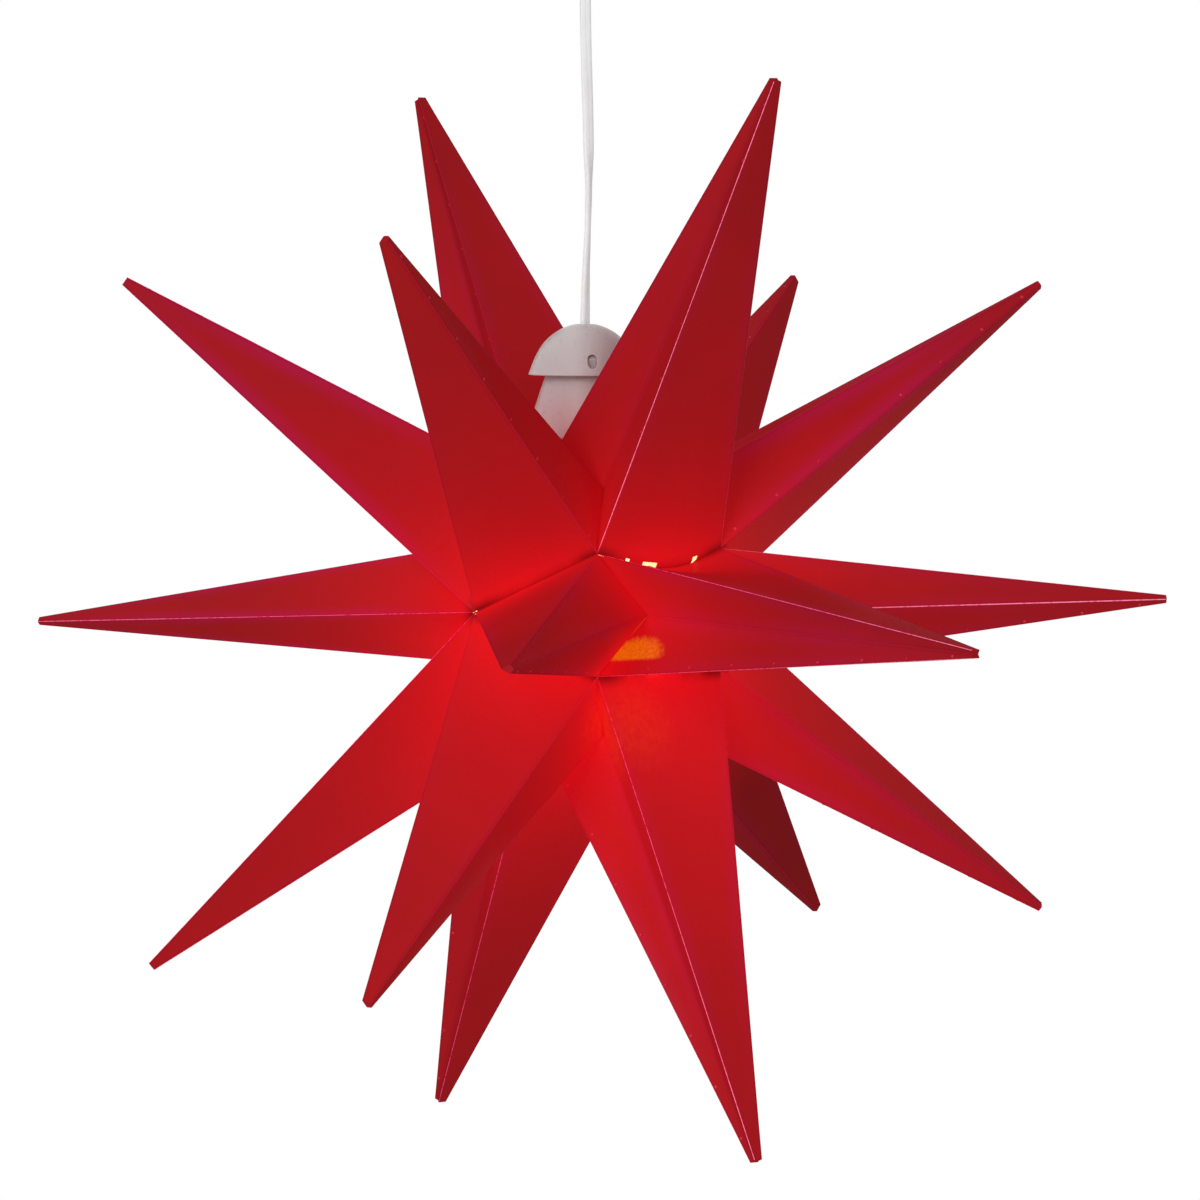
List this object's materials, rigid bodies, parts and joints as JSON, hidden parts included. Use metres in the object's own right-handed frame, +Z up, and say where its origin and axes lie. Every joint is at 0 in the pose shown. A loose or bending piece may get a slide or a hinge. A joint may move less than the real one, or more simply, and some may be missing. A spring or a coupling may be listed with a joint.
{
  "type": "hanging star lamp",
  "caption": "Hanging Christmas star of folded translucent red sheet points on a flat lead, with a domed cap, a lamp inside and a ceiling fitting.",
  "frame": {"origin": "middle of the ceiling fitting's flat face, where it meets the ceiling", "axes": "+Z up into the ceiling, along the lead; Y along the level axis that the three rings of points stand about, the front ring at -Y; X across it, through a middle point"},
  "size_m": [0.5599, 0.4053, 0.6013],
  "materials": {
    "red_sheet": "satin translucent polypropylene, lit from inside",
    "red_rivet": "satin",
    "press_stud": "nickel plated",
    "white_dome": "satin translucent",
    "white_neck": "satin translucent",
    "steel": "zinc plated",
    "grip_plastic": "satin",
    "seal_rubber": "matt",
    "holder_plastic": "satin",
    "brass": "bright",
    "lead": "satin insulation over copper",
    "cap_metal": "nickel plated",
    "insulator": "glazed",
    "bulb_plastic": "satin",
    "opal": "opal, lit",
    "board": "white solder mask",
    "chip": "phosphor",
    "cord": "clear sheath over white cores",
    "ceiling_plastic": "satin",
    "block_plastic": "satin"
  },
  "bodies": {
    "ceiling": {"ceiling_plate": "ceiling_plastic", "ceiling_cup": "ceiling_plastic", "cup_screws": "steel", "cord_gland": "ceiling_plastic", "terminal_block": "block_plastic", "terminal_screws": "steel", "ceiling_leads": "lead"},
    "pendant": {"cord": "cord", "cord_knot": "cord", "neck_bell": "white_neck", "threaded_nipple": "steel", "locknut": "steel", "cord_grip": "grip_plastic", "grip_screw": "steel", "holder_seal": "seal_rubber", "lampholder_body": "holder_plastic", "screw_shell": "brass", "centre_contact": "brass", "holder_leads": "lead", "front_point_1": "red_sheet", "front_point_2": "red_sheet", "front_point_3": "red_sheet", "front_point_4": "red_sheet", "front_point_5": "red_sheet", "front_point_6": "red_sheet", "middle_point_1": "red_sheet", "middle_point_2": "red_sheet", "middle_point_3": "red_sheet", "middle_point_4": "red_sheet", "middle_point_5": "red_sheet", "middle_point_6": "red_sheet", "rear_point_1": "red_sheet", "rear_point_2": "red_sheet", "rear_point_3": "red_sheet", "rear_point_4": "red_sheet", "rear_point_5": "red_sheet", "rear_point_6": "red_sheet", "front_seam_rivets": "red_rivet", "middle_seam_rivets": "red_rivet", "rear_seam_rivets": "red_rivet", "seam_press_studs": "press_stud"},
    "dome": {"dome_cap": "white_dome"},
    "bulb": {"bulb_screw_cap": "cap_metal", "bulb_insulator": "insulator", "bulb_tip_contact": "brass", "bulb_body": "bulb_plastic", "bulb_globe": "opal", "led_board": "board", "led_chips": "chip"},
    "ring": {"shade_ring": "holder_plastic"}
  },
  "joints": [
    {"name": "cord_swing", "type": "hinge", "parent": "ceiling", "child": "pendant", "pos_m": [0, 0, -0.034], "axis": [0, 1, 0], "range_deg": [-20, 20]},
    {"name": "dome_lift", "type": "slide", "parent": "pendant", "child": "dome", "axis": [0, 0, 1], "range_m": [0, 0.035]},
    {"name": "bulb_turn", "type": "hinge", "parent": "pendant", "child": "bulb", "pos_m": [0, 0, -0.3], "axis": [0, 0, 1], "continuous": true},
    {"name": "shade_ring_turn", "type": "hinge", "parent": "pendant", "child": "ring", "pos_m": [0, 0, -0.303], "axis": [0, 0, 1], "continuous": true}
  ]
}
